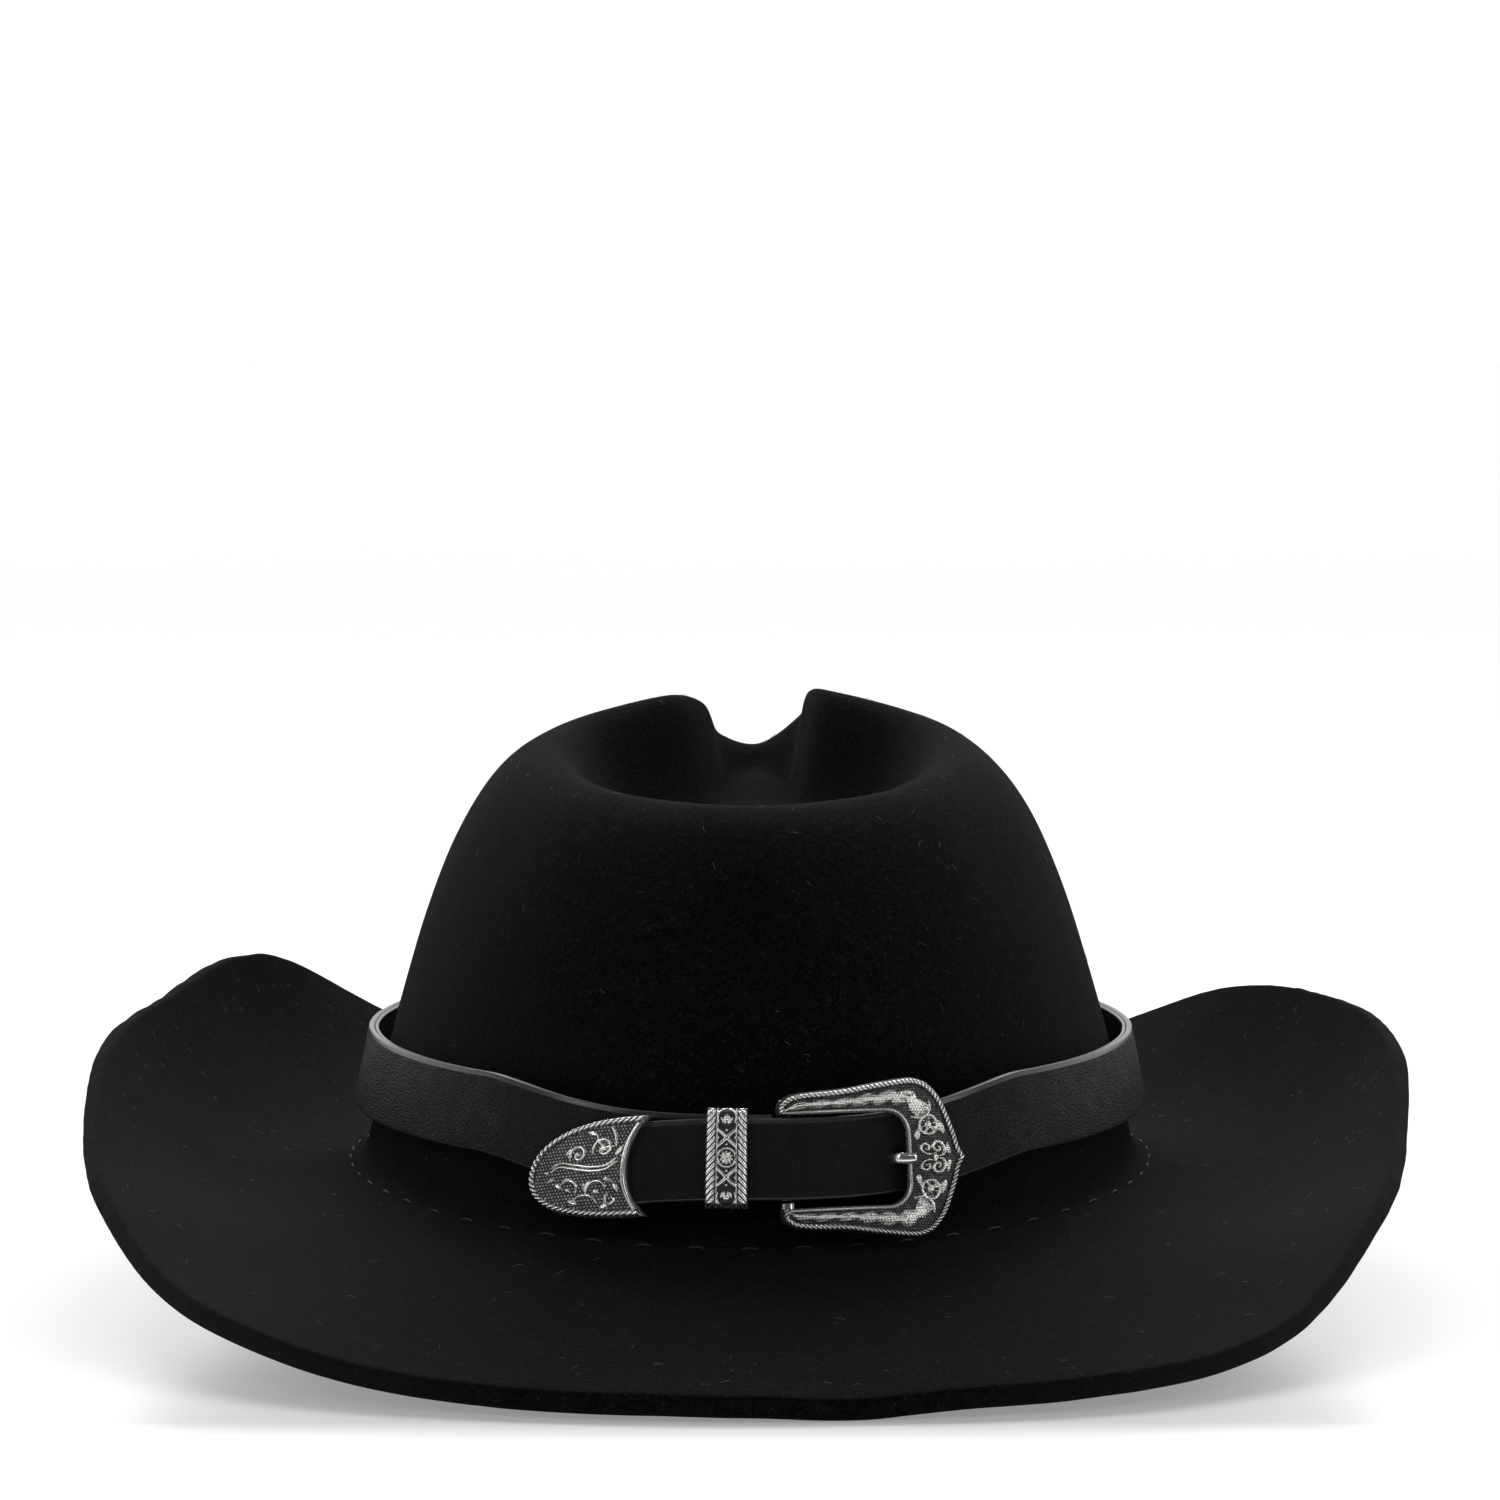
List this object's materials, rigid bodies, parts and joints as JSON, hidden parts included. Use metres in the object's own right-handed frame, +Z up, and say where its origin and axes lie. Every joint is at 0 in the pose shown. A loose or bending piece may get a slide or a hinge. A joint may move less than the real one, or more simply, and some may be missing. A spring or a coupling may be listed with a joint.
{
  "type": "western hat",
  "caption": "Black western felt hat with rolled brim, pinched centre crease and a loose leather hatband closed by an engraved three piece metal buckle set.",
  "frame": {"origin": "middle of the hat on the plane it rests on", "axes": "+X to the hat's right seen from the back, +Y to the front where the crown is pinched, -Y to the back where the buckle is, +Z up"},
  "size_m": [0.3171, 0.375, 0.1372],
  "materials": {
    "felt": "matte",
    "sweatband_leather": "satin",
    "thread": "matte",
    "strap_leather": "satin",
    "lining_leather": "matte",
    "antique_metal": "polished",
    "bar_metal": "satin"
  },
  "bodies": {
    "hat": {"felt_body": "felt", "sweatband": "sweatband_leather", "sweatband_stitching": "thread"},
    "hatband": {"strap_face": "strap_leather", "strap_lining": "lining_leather", "buckle_frame": "antique_metal", "heel_bar": "bar_metal", "tip_cap": "antique_metal"},
    "keeper": {"keeper": "antique_metal"},
    "prong": {"prong": "antique_metal"}
  },
  "joints": [
    {"name": "hatband_lift", "type": "slide", "parent": "hat", "child": "hatband", "axis": [0, 0, 1], "range_m": [0, 0.12]},
    {"name": "keeper_slide", "type": "hinge", "parent": "hatband", "child": "keeper", "pos_m": [0, -0.036, 0], "axis": [0, 0, 1], "range_deg": [-5, 3.5]},
    {"name": "prong_lift", "type": "hinge", "parent": "hatband", "child": "prong", "pos_m": [0.0084, -0.11593, 0.0353], "axis": [0.0217, -0.2068, -0.9781], "range_deg": [0, 3]}
  ]
}
